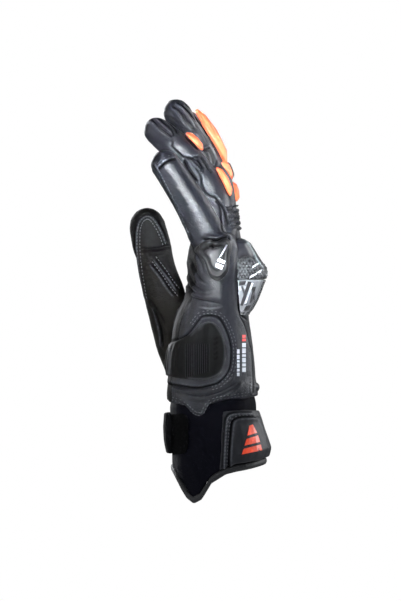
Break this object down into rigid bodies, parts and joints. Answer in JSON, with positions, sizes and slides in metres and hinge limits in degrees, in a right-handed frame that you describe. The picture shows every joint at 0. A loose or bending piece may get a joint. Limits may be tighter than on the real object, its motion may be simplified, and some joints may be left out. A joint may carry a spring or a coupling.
{
  "type": "short motorcycle glove",
  "caption": "Short leather motorcycle glove for the left hand, held open as worn, with armoured knuckles, padded fingers, a palm slider and a flared cuff closed by a hook-and-loop strap.",
  "frame": {"origin": "middle of the wrist inside the glove, at the closure strap's upper edge", "axes": "+Z towards the fingertips, +X out of the back of the hand, +Y towards the thumb side"},
  "size_m": [0.0914, 0.107, 0.2579],
  "materials": {
    "leather": "smooth grained, satin sheen",
    "cuff_textile": "matte coated textile",
    "binding": "soft folded edge",
    "strap": "matte hook-and-loop",
    "guard_rubber": "semi-gloss moulded",
    "guard_plate": "gloss, metallic pale grey with black flashes",
    "accent": "smooth fluorescent red-orange"
  },
  "bodies": {
    "root": {"back_of_hand": "leather", "palm": "leather", "outer_side": "leather", "thumb_side": "leather", "little_finger": "leather", "ring_finger": "leather", "middle_finger": "leather", "index_finger": "leather", "thumb": "leather", "cuff": "cuff_textile", "cuff_binding": "binding", "cuff_guard": "leather", "closure_strap": "strap", "loop_patch": "strap", "wrist_roll": "leather", "knuckle_guard": "guard_rubber", "knuckle_shell": "guard_plate", "side_guard": "guard_rubber", "palm_slider": "guard_rubber", "ring_flex": "leather", "middle_flex": "leather", "index_flex": "leather", "ring_pad_lower": "accent", "ring_pad_upper": "accent", "index_pad_lower": "accent", "index_pad_middle": "accent", "index_cap": "guard_rubber", "index_strip": "accent"}
  },
  "joints": []
}
